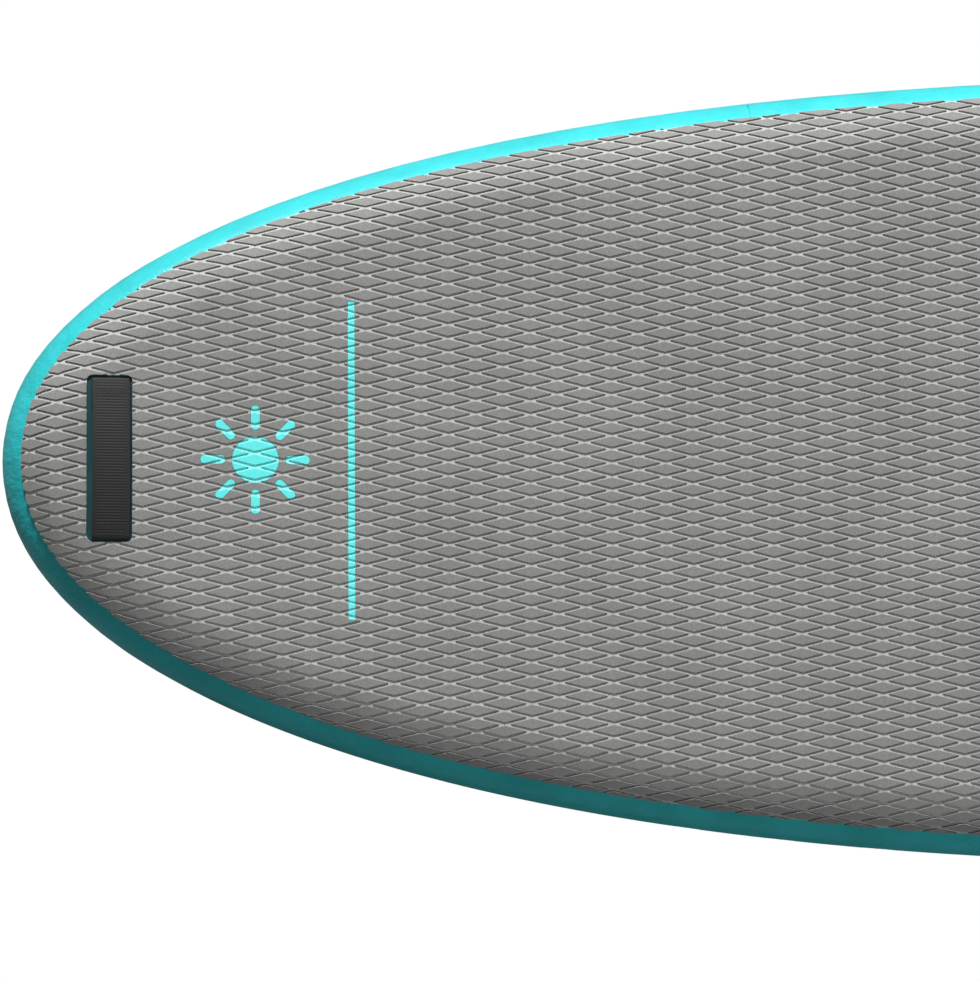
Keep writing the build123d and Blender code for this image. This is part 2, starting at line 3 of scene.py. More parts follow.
import bmesh
import bpy
import numpy as np
from mathutils import Matrix, Vector
from mathutils.geometry import delaunay_2d_cdt


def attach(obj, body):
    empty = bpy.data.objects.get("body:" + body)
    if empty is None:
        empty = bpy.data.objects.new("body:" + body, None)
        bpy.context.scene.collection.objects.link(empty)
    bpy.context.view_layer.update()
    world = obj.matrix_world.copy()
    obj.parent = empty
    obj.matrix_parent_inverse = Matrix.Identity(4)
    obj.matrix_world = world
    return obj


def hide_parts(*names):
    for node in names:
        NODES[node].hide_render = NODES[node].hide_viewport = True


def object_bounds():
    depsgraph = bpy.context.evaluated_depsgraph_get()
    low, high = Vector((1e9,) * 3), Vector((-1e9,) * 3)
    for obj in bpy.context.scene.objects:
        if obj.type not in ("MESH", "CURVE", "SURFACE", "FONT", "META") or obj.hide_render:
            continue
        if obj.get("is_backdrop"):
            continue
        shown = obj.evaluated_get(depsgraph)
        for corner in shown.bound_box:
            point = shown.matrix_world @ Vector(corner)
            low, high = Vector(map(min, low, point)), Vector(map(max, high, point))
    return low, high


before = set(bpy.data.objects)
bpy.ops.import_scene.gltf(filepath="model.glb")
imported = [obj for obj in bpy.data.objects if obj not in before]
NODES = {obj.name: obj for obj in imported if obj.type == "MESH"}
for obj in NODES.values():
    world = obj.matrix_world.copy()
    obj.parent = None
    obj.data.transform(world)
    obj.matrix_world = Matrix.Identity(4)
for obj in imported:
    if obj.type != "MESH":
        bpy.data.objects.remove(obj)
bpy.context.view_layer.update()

HULL = "hull"

# ---------------------------------------------------------------- board shape, metres
BOARD_LENGTH = 3.048
BOARD_WIDTH = 0.864
BOARD_THICKNESS = 0.152
WIDE_POINT_FROM_NOSE = 1.500
NOSE_FULLNESS, NOSE_BLUNTNESS = 2.41, 2.10
TAIL_FULLNESS, TAIL_BLUNTNESS = 2.90, 2.25
NOSE_RISE, NOSE_RISE_LENGTH = 0.116, 1.330
TAIL_RISE, TAIL_RISE_LENGTH = 0.028, 0.520
RISE_POWER = 2.29
HALF_LENGTH = BOARD_LENGTH / 2
RAIL_RADIUS = BOARD_THICKNESS / 2

# Deck pad: heights over the deck skin
PATCH_TOP = 0.00125
PAD_UNDER = 0.00175
PAD_TOP = 0.00545
GROOVE_FLOOR = 0.0036
PAD_RINGS = (0.85, 0.7, 0.55, 0.4, 0.25, 0.12, 0.0)     # shares of the roll, from the rim inwards
PAD_RING_POINTS = 340
PAD_GRID = (0.035, 0.06)                                # spacing of the sheet's inner points
PAD_GRID_INSET = 0.006
PAD_RAIL_ANGLE = math.radians(40.0)
PAD_BEND_RADIUS = RAIL_RADIUS + 0.0035
PAD_ROLL = PAD_BEND_RADIUS * PAD_RAIL_ANGLE       # how much pad lies on the rail

# Diamond tread
DIAMOND_LENGTH = 0.0574
DIAMOND_WIDTH = 0.0144
TOP_SIZE, SHOULDER_SIZE, FOOT_SIZE = 0.735, 0.765, 0.80
SHOULDER_DROP = 0.0003
NEAR_RAIL = 0.03              # diamonds this close to the bend, or past it, have divided sides
TREAD_PARTS = 4
FOOT_SINK = 0.0001

# Inlays
LINE_X, LINE_LENGTH, LINE_WIDTH = HALF_LENGTH - 0.361, 0.331, 0.007
MARK_X, MARK_RADIUS = HALF_LENGTH - 0.262, 0.024
RAY_START, RAY_END, RAY_WIDTH, RAYS = 0.031, 0.056, 0.009, 8
INLAY_GAP = 0.00035

# Handles: length between the folds, and rise of the arch
STRAP_WIDTH = 0.038
END_HANDLE = (0.165, 0.008)
CENTRE_HANDLE = (0.260, 0.016)
NOSE_HANDLE_X = HALF_LENGTH - 0.114
TAIL_HANDLE_X = 0.118 - HALF_LENGTH
WEBBING_THICKNESS = 0.0022
RIB_PITCH, RIB_HEIGHT, SELVAGE = 0.0029, 0.00038, 0.0042
STRAP_FOOT, FOLD_RADIUS, ON_PATCH = 0.026, 0.0026, 0.0017
STITCH_LENGTH, STITCH_THICKNESS, STITCH_PITCH = 0.0026, 0.0008, 0.00325
STITCH_ROWS = (0.0115, 0.0150, 0.0185)      # how far each row lies in from the fold
PATCH_MARGIN, PATCH_SEAT = 0.009, 0.0001

# Openings in the pad
OPENING_ENDS = 0.006                        # added to a handle's length
END_OPENING = (STRAP_WIDTH + 0.008, END_HANDLE[0] + OPENING_ENDS)
CENTRE_OPENING = (CENTRE_HANDLE[0] + OPENING_ENDS, STRAP_WIDTH + 0.012)
OPENING_CORNER = 0.006
VALVE_PLACE, VALVE_OPENING = (0.549 - HALF_LENGTH, 0.120), 0.045
LEASH_PLACE, LEASH_OPENING = (0.230 - HALF_LENGTH, 0.0), 0.033


def rise(x):
    """Height of the bottom's centre line over its flat."""
    nose = np.maximum(NOSE_RISE_LENGTH - HALF_LENGTH + x, 0) / NOSE_RISE_LENGTH
    tail = np.maximum(TAIL_RISE_LENGTH - HALF_LENGTH - x, 0) / TAIL_RISE_LENGTH
    return NOSE_RISE * nose ** RISE_POWER + TAIL_RISE * tail ** RISE_POWER


def plan_points(count=170):
    """The board's outline, counter clockwise from the tail by starboard, closest at the ends."""
    def quarter(length, fullness, bluntness):
        run = length * (np.arange(count) / count) ** 2.2
        width = BOARD_WIDTH / 2 * (1 - (1 - run / length) ** fullness) ** (1 / bluntness)
        return run, width

    run_nose, wide_nose = quarter(WIDE_POINT_FROM_NOSE, NOSE_FULLNESS, NOSE_BLUNTNESS)
    run_tail, wide_tail = quarter(BOARD_LENGTH - WIDE_POINT_FROM_NOSE, TAIL_FULLNESS, TAIL_BLUNTNESS)
    middle = np.array([HALF_LENGTH - WIDE_POINT_FROM_NOSE])
    x = np.concatenate([run_tail - HALF_LENGTH, middle, (HALF_LENGTH - run_nose)[::-1]])
    y = np.concatenate([wide_tail, [BOARD_WIDTH / 2], wide_nose[::-1]])
    starboard = np.stack([x, -y], 1)
    port = np.stack([x, y], 1)[::-1][1:-1]
    return np.concatenate([starboard, port])


def bend_line():
    """The line along which the flat deck turns down into the rail, and the way out from it."""
    plan = plan_points()
    along = np.roll(plan, -1, 0) - np.roll(plan, 1, 0)
    out = np.stack([along[:, 1], -along[:, 0]], 1)
    out /= np.linalg.norm(out, axis=1)[:, None]
    return plan - out * RAIL_RADIUS, out


BEND, BEND_OUT = bend_line()
BEND_NEXT = np.roll(BEND, -1, 0)


def from_bend(points):
    """Signed distance outside the bend line, the nearest place on it, and the way out there."""
    distance = np.empty(len(points))
    foot, way = np.empty((len(points), 2)), np.empty((len(points), 2))
    step = BEND_NEXT - BEND
    length = (step ** 2).sum(1)
    for i in range(0, len(points), 1500):
        p = points[i:i + 1500]
        t = np.clip(((p[:, None] - BEND) * step).sum(2) / length, 0, 1)
        near = BEND + t[..., None] * step
        gap = np.linalg.norm(p[:, None] - near, axis=2)
        k = gap.argmin(1)
        rows = np.arange(len(p))
        foot[i:i + 1500] = near[rows, k]
        blend = t[rows, k][:, None]
        out = BEND_OUT[k] * (1 - blend) + BEND_OUT[(k + 1) % len(BEND)] * blend
        way[i:i + 1500] = out / np.linalg.norm(out, axis=1)[:, None]
        side = np.sign(((p - foot[i:i + 1500]) * way[i:i + 1500]).sum(1))
        distance[i:i + 1500] = gap[rows, k] * np.where(side == 0, 1, side)
    return distance, foot, way


def lay(points):
    """Flat pad points (x, y, height) laid on the deck and rolled over its rails."""
    points = np.asarray(points, float)
    flat, height = points[:, :2], points[:, 2]
    distance, foot, way = from_bend(flat)
    angle = np.maximum(distance, 0) / PAD_BEND_RADIUS
    radius = RAIL_RADIUS + height
    rolled = foot + way * (radius * np.sin(angle))[:, None]
    place = np.where(distance[:, None] > 0, rolled, flat)
    z = RAIL_RADIUS + radius * np.cos(angle) + rise(place[:, 0])
    return np.column_stack([place, z])


# ---------------------------------------------------------------- making pieces
def finish_piece(bm, name, materials, body=HULL):
    """A mesh object from bm, riding on a body, with outward normals."""
    bmesh.ops.recalc_face_normals(bm, faces=bm.faces)
    mesh = bpy.data.meshes.new(name)
    bm.to_mesh(mesh)
    bm.free()
    piece = bpy.data.objects.new(name, mesh)
    bpy.context.scene.collection.objects.link(piece)
    for item in materials:
        mesh.materials.append(item)
    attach(piece, body)
    return piece


def lay_piece(bm):
    """Moves every vertex of a flat pad piece to its place on the board."""
    verts = list(bm.verts)
    for vert, place in zip(verts, lay([v.co[:] for v in verts])):
        vert.co = place


def rounded_rectangle(x, y, length, width, corner, steps=4):
    """Corner points of a rounded rectangle, counter clockwise."""
    points = []
    for side_x, side_y, start in ((1, -1, -90), (1, 1, 0), (-1, 1, 90), (-1, -1, 180)):
        for i in range(steps + 1):
            turn = math.radians(start + 90 * i / steps)
            points.append((x + side_x * (length / 2 - corner) + corner * math.cos(turn),
                           y + side_y * (width / 2 - corner) + corner * math.sin(turn)))
    return points


def circle(x, y, radius, count):
    turns = [2 * math.pi * i / count for i in range(count)]
    return [(x + radius * math.cos(t), y + radius * math.sin(t)) for t in turns]


def ray_shape(number, margin=0.0):
    """One ray of the sun mark as a convex outline."""
    middle, length = (RAY_START + RAY_END) / 2, RAY_END - RAY_START + 2 * margin
    width = RAY_WIDTH + 2 * margin
    turn = 2 * math.pi * number / RAYS
    points = rounded_rectangle(middle, 0, length, width, width / 2 - 0.0005, 3)
    c, s = math.cos(turn), math.sin(turn)
    return [(MARK_X + px * c - py * s, px * s + py * c) for px, py in points]


def line_shape(margin=0.0):
    return rounded_rectangle(LINE_X, 0, LINE_WIDTH + 2 * margin, LINE_LENGTH + 2 * margin, 0.0004, 1)


def mark_shapes(margin=0.0):
    return [circle(MARK_X, 0, MARK_RADIUS + margin, 28)] + [ray_shape(i, margin) for i in range(RAYS)]


def openings():
    return [
        rounded_rectangle(NOSE_HANDLE_X, 0, *END_OPENING, OPENING_CORNER),
        rounded_rectangle(TAIL_HANDLE_X, 0, *END_OPENING, OPENING_CORNER),
        rounded_rectangle(0, 0, *CENTRE_OPENING, OPENING_CORNER),
        circle(*VALVE_PLACE, VALVE_OPENING, 32),
        circle(*LEASH_PLACE, LEASH_OPENING, 28),
    ]


def inside_convex(points, shape):
    """True for each point inside a convex counter clockwise outline."""
    inside = np.ones(len(points), bool)
    for (ax, ay), (bx, by) in zip(shape, shape[1:] + shape[:1]):
        inside &= (bx - ax) * (points[:, 1] - ay) - (by - ay) * (points[:, 0] - ax) >= 0
    return inside


# ---------------------------------------------------------------- materials
WRINKLED_NOSE = (1.30, 1.50)      # the rail's fabric wrinkles between these places along the board


def new_material(name):
    material = bpy.data.materials.new(name)
    material.use_nodes = True
    nodes, links = material.node_tree.nodes, material.node_tree.links
    return material, nodes, links, nodes["Principled BSDF"]


def add(nodes, kind, **inputs):
    node = nodes.new(kind)
    for key, value in inputs.items():
        if key in node.inputs:
            node.inputs[key].default_value = value
        else:
            setattr(node, key, value)
    return node


def noise(nodes, links, scale, detail=3.0, roughness=0.55, stretch=(1, 1, 1)):
    """Noise over object coordinates."""
    place = nodes.new("ShaderNodeTexCoord")
    mapping = nodes.new("ShaderNodeMapping")
    mapping.inputs["Scale"].default_value = stretch
    texture = add(nodes, "ShaderNodeTexNoise", Scale=scale, Detail=detail, Roughness=roughness)
    links.new(place.outputs["Object"], mapping.inputs["Vector"])
    links.new(mapping.outputs["Vector"], texture.inputs["Vector"])
    return texture.outputs["Fac"]


def between(nodes, links, value, low, high, to_low, to_high):
    node = add(nodes, "ShaderNodeMapRange")
    for key, number in zip(("From Min", "From Max", "To Min", "To Max"), (low, high, to_low, to_high)):
        node.inputs[key].default_value = number
    links.new(value, node.inputs["Value"])
    return node.outputs["Result"]


def mixed(nodes, links, factor, first, second):
    node = nodes.new("ShaderNodeMix")
    node.data_type = "RGBA"
    links.new(factor, node.inputs["Factor"])
    node.inputs["A"].default_value = (*first, 1)
    node.inputs["B"].default_value = (*second, 1)
    return node.outputs["Result"]


def bump(nodes, links, height, strength, distance, normal=None):
    node = add(nodes, "ShaderNodeBump", Strength=strength, Distance=distance)
    links.new(height, node.inputs["Height"])
    if normal is not None:
        links.new(normal, node.inputs["Normal"])
    return node.outputs["Normal"]


def foam(name, dark, light, painted_glints=0.0):
    """Brushed closed cell foam: fine grain, slow shade changes, and painted glints (light specks standing in
    for specular sparkle) in the grooves.
    """
    material, nodes, links, shader = new_material(name)
    shade = between(nodes, links, noise(nodes, links, 900, 4), 0.35, 0.65, 0, 1)
    colour = mixed(nodes, links, shade, dark, light)
    slow = between(nodes, links, noise(nodes, links, 9, 2), 0.3, 0.7, 0.93, 1.06)
    tint = add(nodes, "ShaderNodeHueSaturation")
    links.new(colour, tint.inputs["Color"])
    links.new(slow, tint.inputs["Value"])
    colour = tint.outputs["Color"]
    # Near-white dots painted into the colour: painted glints of specular sparkle on the groove floor.
    if painted_glints:
        glint_mask = between(nodes, links, noise(nodes, links, 1600, 2), 0.66, 0.72, 0, painted_glints)
        node = nodes.new("ShaderNodeMix")
        node.data_type = "RGBA"
        links.new(glint_mask, node.inputs["Factor"])
        links.new(colour, node.inputs["A"])
        node.inputs["B"].default_value = (0.85, 0.85, 0.82, 1)
        colour = node.outputs["Result"]
    links.new(colour, shader.inputs["Base Color"])
    shader.inputs["Roughness"].default_value = 0.82
    shader.inputs["Specular IOR Level"].default_value = 0.30
    grain = bump(nodes, links, noise(nodes, links, 1300, 3), 0.35, 0.0003)
    links.new(grain, shader.inputs["Normal"])
    return material


def coated_fabric(name, dark, light, roughness=0.22, crinkle=0.0):
    """Welded coated fabric: glossy, with the base cloth's weave showing faintly and slow ripples."""
    material, nodes, links, shader = new_material(name)
    shade = between(nodes, links, noise(nodes, links, 14, 3), 0.3, 0.7, 0, 1)
    links.new(mixed(nodes, links, shade, dark, light), shader.inputs["Base Color"])
    rough = between(nodes, links, noise(nodes, links, 60, 4), 0.3, 0.7, roughness - 0.05, roughness + 0.09)
    links.new(rough, shader.inputs["Roughness"])
    shader.inputs["Specular IOR Level"].default_value = 0.35
    shader.inputs["Coat Weight"].default_value = 0.12
    shader.inputs["Coat Roughness"].default_value = 0.12
    place = nodes.new("ShaderNodeTexCoord")
    weave = None
    for direction in ("X", "Y"):
        wave = add(nodes, "ShaderNodeTexWave", Scale=420.0)
        wave.bands_direction = direction
        links.new(place.outputs["Object"], wave.inputs["Vector"])
        if weave is None:
            weave = wave.outputs["Fac"]
        else:
            total = add(nodes, "ShaderNodeMath", operation="ADD")
            links.new(weave, total.inputs[0])
            links.new(wave.outputs["Fac"], total.inputs[1])
            weave = total.outputs[0]
    normal = bump(nodes, links, weave, 0.10, 0.0002)
    normal = bump(nodes, links, noise(nodes, links, 26, 2), 0.25, 0.0012, normal)
    if crinkle:
        nose = nodes.new("ShaderNodeSeparateXYZ")
        links.new(place.outputs["Object"], nose.inputs[0])
        near = between(nodes, links, nose.outputs["X"], *WRINKLED_NOSE, 0.0, 1.0)
        folds = add(nodes, "ShaderNodeMath", operation="MULTIPLY")
        links.new(noise(nodes, links, 60, 3, 0.6, (1.0, 1.0, 0.25)), folds.inputs[0])
        links.new(near, folds.inputs[1])
        normal = bump(nodes, links, folds.outputs[0], crinkle, 0.004, normal)
    links.new(normal, shader.inputs["Normal"])
    return material


def moulded(name, colour, roughness, grain=1800, metallic=0.0, coat=0.0):
    """Moulded plastic, rubber or turned metal with a fine surface grain."""
    material, nodes, links, shader = new_material(name)
    darker = tuple(c * 0.8 for c in colour)
    shade = between(nodes, links, noise(nodes, links, 45, 4), 0.3, 0.7, 0, 1)
    links.new(mixed(nodes, links, shade, darker, colour), shader.inputs["Base Color"])
    rough = between(nodes, links, noise(nodes, links, 150, 3), 0.3, 0.7, roughness * 0.8, roughness * 1.2)
    links.new(rough, shader.inputs["Roughness"])
    shader.inputs["Metallic"].default_value = metallic
    shader.inputs["Coat Weight"].default_value = coat
    links.new(bump(nodes, links, noise(nodes, links, grain, 2), 0.15, 0.0002), shader.inputs["Normal"])
    return material


def cloth(name, colour, light):
    """Woven tape or sewing thread."""
    material, nodes, links, shader = new_material(name)
    shade = between(nodes, links, noise(nodes, links, 2200, 2), 0.35, 0.65, 0, 1)
    links.new(mixed(nodes, links, shade, colour, light), shader.inputs["Base Color"])
    shader.inputs["Roughness"].default_value = 0.72
    shader.inputs["Sheen Weight"].default_value = 0.12
    shader.inputs["Sheen Roughness"].default_value = 0.4
    links.new(bump(nodes, links, noise(nodes, links, 2600, 3), 0.5, 0.0003), shader.inputs["Normal"])
    return material


PAD_GREY = foam("pad_tread_foam", (0.19, 0.19, 0.183), (0.28, 0.28, 0.27))
PAD_GROOVE = foam("pad_groove_foam", (0.42, 0.42, 0.40), (0.58, 0.58, 0.56), painted_glints=0.6)
INLAY_TOP = foam("inlay_tread_foam", (0.10, 0.74, 0.72), (0.16, 0.86, 0.84))
INLAY_GROOVE = foam("inlay_groove_foam", (0.30, 0.88, 0.86), (0.42, 0.94, 0.92), painted_glints=0.3)
TURQUOISE = coated_fabric("rail_coated_fabric", (0.020, 0.43, 0.45), (0.032, 0.54, 0.57), 0.26,
                          crinkle=0.6)
# The handle patches' near-black teal is painted shade: the turquoise skin as it looks in the strap's shadow.
PATCH_PAINTED_SHADE = coated_fabric("handle_patch_painted_shade", (0.006, 0.045, 0.05), (0.01, 0.07, 0.075), 0.35)
WHITE_SKIN = coated_fabric("skin_coated_fabric", (0.74, 0.75, 0.74), (0.83, 0.84, 0.83), 0.30)
WEBBING = cloth("handle_webbing", (0.005, 0.005, 0.006), (0.015, 0.015, 0.016))
THREAD = cloth("sewing_thread", (0.02, 0.02, 0.022), (0.055, 0.055, 0.06))
YARN = cloth("drop_stitch_yarn", (0.60, 0.60, 0.58), (0.75, 0.75, 0.73))
GRIP = moulded("grip_sleeve", (0.035, 0.035, 0.04), 0.65, 900)
VALVE_GREY = moulded("valve_plastic", (0.13, 0.14, 0.15), 0.42)
SEAL = moulded("seal_rubber", (0.025, 0.025, 0.026), 0.6)
STEEL = moulded("polished_stainless", (0.66, 0.66, 0.65), 0.18, 900, metallic=1.0)
BRASS = moulded("turned_brass", (0.72, 0.53, 0.24), 0.28, 900, metallic=1.0)
FIN_BLACK = moulded("fin_plastic", (0.022, 0.022, 0.026), 0.35, 1500, coat=0.1)
SOFT_BLACK = moulded("side_fin_moulding", (0.026, 0.026, 0.029), 0.5, 1200)

NODE_FINISH = {
    TURQUOISE: ["rail_band_port", "rail_band_starboard", "seam_tape_upper_port",
                "seam_tape_upper_starboard", "seam_tape_lower_port", "seam_tape_lower_starboard",
                "leash_ring_patch"],
    PATCH_PAINTED_SHADE: ["nose_handle_patch", "tail_handle_patch", "centre_handle_patch"],
    WHITE_SKIN: ["deck_skin", "bottom_skin", "tow_ring_patch", "fin_box_patch",
                 "side_fin_patch_port", "side_fin_patch_starboard"],
    YARN: ["drop_stitch_thread_rows"],
    WEBBING: ["nose_handle_webbing", "tail_handle_webbing", "centre_handle_webbing",
              "leash_ring_loop", "tow_ring_loop"],
    GRIP: ["centre_handle_grip"],
    VALVE_GREY: ["valve_body", "valve_nut", "valve_stem", "valve_cap", "valve_cap_tether"],
    SEAL: ["valve_gasket", "valve_seal", "valve_cap_gasket"],
    STEEL: ["leash_ring", "tow_ring", "valve_spring"],
    BRASS: ["fin_roll_pin", "fin_nut_plate"],
    FIN_BLACK: ["fin_box", "centre_fin", "fin_screw"],
    SOFT_BLACK: ["side_fin_port", "side_fin_starboard"],
}
for finish, names in NODE_FINISH.items():
    for node_name in names:
        node_mesh = NODES[node_name].data
        node_mesh.materials.clear()
        node_mesh.materials.append(finish)


# ---------------------------------------------------------------- the pad's base sheet
def offset_line(distance, count):
    """Points along the bend line moved out by a distance."""
    picks = np.linspace(0, len(BEND), count, endpoint=False).astype(int)
    return BEND[picks] + BEND_OUT[picks] * distance


def pad_sheet():
    """The pad below its grooves: one sheet, open over the handles, the valve and the leash ring."""
    rim = offset_line(PAD_ROLL, len(BEND))
    holes = openings() + [line_shape(INLAY_GAP)] + mark_shapes(INLAY_GAP)
    loops = [rim.tolist()] + holes
    coords, edges = [], []
    for loop in loops:
        start = len(coords)
        coords += [tuple(p) for p in loop]
        edges += [(start + i, start + (i + 1) % len(loop)) for i in range(len(loop))]
    for share in PAD_RINGS:
        coords += [tuple(p) for p in offset_line(PAD_ROLL * share, PAD_RING_POINTS)]
    grid = np.array([(x, y) for x in np.arange(-1.5, 1.5, PAD_GRID[0])
                     for y in np.arange(-0.36, 0.361, PAD_GRID[1])])
    coords += [tuple(p) for p in grid[from_bend(grid)[0] < -PAD_GRID_INSET]]
    verts, _, faces, *_ = delaunay_2d_cdt([Vector(c) for c in coords], edges, [], 0, 1e-6)
    verts = np.array([v[:] for v in verts])
    centres = np.array([verts[list(f)].mean(0) for f in faces])
    keep = from_bend(centres)[0] < PAD_ROLL - 1e-5
    keep &= inside_outline(centres, rim)
    for hole in holes:
        keep &= ~inside_convex(centres, hole)
    bm = bmesh.new()
    top = [bm.verts.new((x, y, GROOVE_FLOOR)) for x, y in verts]
    under = [bm.verts.new((x, y, PAD_UNDER)) for x, y in verts]
    sides = {}
    for face, kept in zip(faces, keep):
        if kept:
            bm.faces.new([top[i] for i in face])
            bm.faces.new([under[i] for i in reversed(face)])
            for a, b in zip(face, list(face[1:]) + [face[0]]):
                sides[(a, b)] = sides.get((b, a), 0) + 1
    for (a, b) in sides:
        if (b, a) not in sides:
            bm.faces.new([top[b], top[a], under[a], under[b]])
    bmesh.ops.delete(bm, geom=[v for v in bm.verts if not v.link_faces], context="VERTS")
    lay_piece(bm)
    sheet = finish_piece(bm, "deck_pad_sheet", [PAD_GROOVE])
    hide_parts("deck_pad", "deck_pad_edge_port", "deck_pad_edge_starboard")


def inside_outline(points, loop):
    """Even and odd crossings of a closed outline."""
    x, y = points[:, 0], points[:, 1]
    inside = np.zeros(len(points), bool)
    for (ax, ay), (bx, by) in zip(loop, np.roll(loop, -1, 0)):
        crosses = (ay > y) != (by > y)
        if crosses.any():
            at = (bx - ax) * (y - ay) / (by - ay if by != ay else 1e-12) + ax
            inside ^= crosses & (x < at)
    return inside


# ---------------------------------------------------------------- the diamond tread
def diamond_rings(steps):
    """Rings of a diamond, from its top edge down to its foot: unit points and a height each."""
    corners = [(1, 0), (0, 1), (-1, 0), (0, -1)]
    ring = []
    for (ax, ay), (bx, by) in zip(corners, corners[1:] + corners[:1]):
        ring += [(ax + (bx - ax) * i / steps, ay + (by - ay) * i / steps) for i in range(steps)]
    levels = [(TOP_SIZE, PAD_TOP), (SHOULDER_SIZE, PAD_TOP - SHOULDER_DROP),
              (FOOT_SIZE, GROOVE_FLOOR - FOOT_SINK)]
    return ring, levels


def add_diamond(bm, x, y, steps):
    """One raised diamond of the tread, closed underneath."""
    ring, levels = diamond_rings(steps)
    rows = []
    for size, height in levels:
        rows.append([bm.verts.new((x + px * size * DIAMOND_LENGTH / 2,
                                   y + py * size * DIAMOND_WIDTH / 2, height)) for px, py in ring])
    for upper, lower in zip(rows, rows[1:]):
        for i in range(len(ring)):
            j = (i + 1) % len(ring)
            bm.faces.new([upper[i], lower[i], lower[j], upper[j]])
    for row, flip in ((rows[0], False), (rows[-1], True)):
        count = len(ring)
        for i in range(count // 2):                 # strips across, from one tip to the other
            strip = (row[i], row[i + 1], row[(count - i - 1) % count], row[(count - i) % count])
            corners = [v for k, v in enumerate(strip) if v not in strip[:k]]
            if len(corners) > 2:
                bm.faces.new(corners[::-1] if flip else corners)


TOUCH = 1e-7      # points this near a plane count as on it


def cut(bm, ax, ay, bx, by, keep_left):
    """Cuts a closed solid with the upright plane through a and b, keeps one side and closes it."""
    normal = Vector((by - ay, ax - bx, 0)).normalized()      # to the right of a to b
    sides = [(v.co - Vector((ax, ay, 0))).dot(normal) for v in bm.verts]
    if not keep_left:
        sides = [-s for s in sides]
        normal = -normal
    if not sides or max(sides) <= TOUCH:
        return
    if min(sides) >= -TOUCH:
        bm.clear()
        return
    geometry = list(bm.verts) + list(bm.edges) + list(bm.faces)
    bmesh.ops.bisect_plane(bm, geom=geometry, dist=TOUCH, plane_co=(ax, ay, 0), plane_no=normal,
                           clear_outer=True)
    open_edges = [e for e in bm.edges if len(e.link_faces) == 1]
    if open_edges:
        bmesh.ops.holes_fill(bm, edges=open_edges)


def split(bm, shape):
    """The part of a solid inside a convex outline, and the parts outside it."""
    outside = []
    for (ax, ay), (bx, by) in zip(shape, shape[1:] + shape[:1]):
        if not bm.verts:
            break
        beyond = bm.copy()
        cut(beyond, ax, ay, bx, by, keep_left=False)
        if beyond.verts:
            outside.append(beyond)
            cut(bm, ax, ay, bx, by, keep_left=True)
        else:
            beyond.free()
    return bm, outside


def gather(target, source):
    """Adds source's mesh to target."""
    if source.verts:
        mesh = bpy.data.meshes.new("gathered")
        source.to_mesh(mesh)
        target.from_mesh(mesh)
        bpy.data.meshes.remove(mesh)
    source.free()


def near_shape(x, y, shape):
    xs, ys = [p[0] for p in shape], [p[1] for p in shape]
    reach_x, reach_y = DIAMOND_LENGTH * FOOT_SIZE / 2, DIAMOND_WIDTH * FOOT_SIZE / 2
    return (min(xs) - reach_x < x < max(xs) + reach_x) and (min(ys) - reach_y < y < max(ys) + reach_y)


def trim_to_rim(bm):
    """Cuts a diamond off flush with the pad's rim."""
    flat = np.array([v.co[:2] for v in bm.verts])
    distance, foot, way = from_bend(flat)
    for k in (distance.argmax(), distance.argmin()):
        px, py = foot[k] + way[k] * PAD_ROLL
        cut(bm, px, py, px - way[k][1] * 0.01, py + way[k][0] * 0.01, keep_left=True)
        if not bm.verts:
            return


def tread():
    """All the diamonds: whole ones, ones cut off at the rim or an opening, and those of the inlays."""
    columns, rows = int(BOARD_LENGTH / DIAMOND_LENGTH) + 2, int(BOARD_WIDTH / DIAMOND_WIDTH) + 2
    centres = np.array([(i * DIAMOND_LENGTH / 2, j * DIAMOND_WIDTH / 2)
                        for i in range(-columns, columns + 1)
                        for j in range(-rows, rows + 1) if (i + j) % 2 == 0])
    distance = from_bend(centres)[0]
    kept = distance < PAD_ROLL + DIAMOND_LENGTH / 2
    centres, distance = centres[kept], distance[kept]
    grey = [bmesh.new() for _ in range(TREAD_PARTS)]
    line, mark = bmesh.new(), bmesh.new()
    holes = openings()
    line_gap, line_in = line_shape(INLAY_GAP), line_shape()
    mark_gap, mark_in = mark_shapes(INLAY_GAP), mark_shapes()
    for (x, y), out in zip(centres.tolist(), distance.tolist()):
        part = min(TREAD_PARTS - 1, int((x + HALF_LENGTH) / BOARD_LENGTH * TREAD_PARTS))
        steps = 1 if out < -NEAR_RAIL else 3
        shapes = [s for s in holes if near_shape(x, y, s)]
        inlays = [(line_gap, line_in, line)] if near_shape(x, y, line_gap) else []
        inlays += [(g, s, mark) for g, s in zip(mark_gap, mark_in) if near_shape(x, y, g)]
        at_rim = out > PAD_ROLL - DIAMOND_LENGTH / 2
        if not (shapes or inlays or at_rim):
            add_diamond(grey[part], x, y, steps)
            continue
        whole = bmesh.new()
        add_diamond(whole, x, y, steps)
        if at_rim:
            trim_to_rim(whole)
        pieces = [whole]
        for shape in shapes:
            pieces = keep_outside(pieces, shape)
        for gap, shape, target in inlays:
            for piece in pieces:
                inlay = piece.copy()
                inlay, rest = split(inlay, shape)
                gather(target, inlay)
                for item in rest:
                    item.free()
            pieces = keep_outside(pieces, gap)
        for piece in pieces:
            gather(grey[part], piece)
    return grey, line, mark


def keep_outside(pieces, shape):
    kept = []
    for piece in pieces:
        inside, outside = split(piece, shape)
        inside.free()
        kept += outside
    return kept


def add_base(bm, shape):
    """The inlay's own base: an outline raised from the deck to the grooves' floor."""
    low = [bm.verts.new((x, y, PAD_UNDER)) for x, y in shape]
    high = [bm.verts.new((x, y, GROOVE_FLOOR)) for x, y in shape]
    faces = [bm.faces.new(high), bm.faces.new(low[::-1])]
    for i in range(len(shape)):
        j = (i + 1) % len(shape)
        faces.append(bm.faces.new([low[i], low[j], high[j], high[i]]))
    for face in faces:
        face.material_index = 1


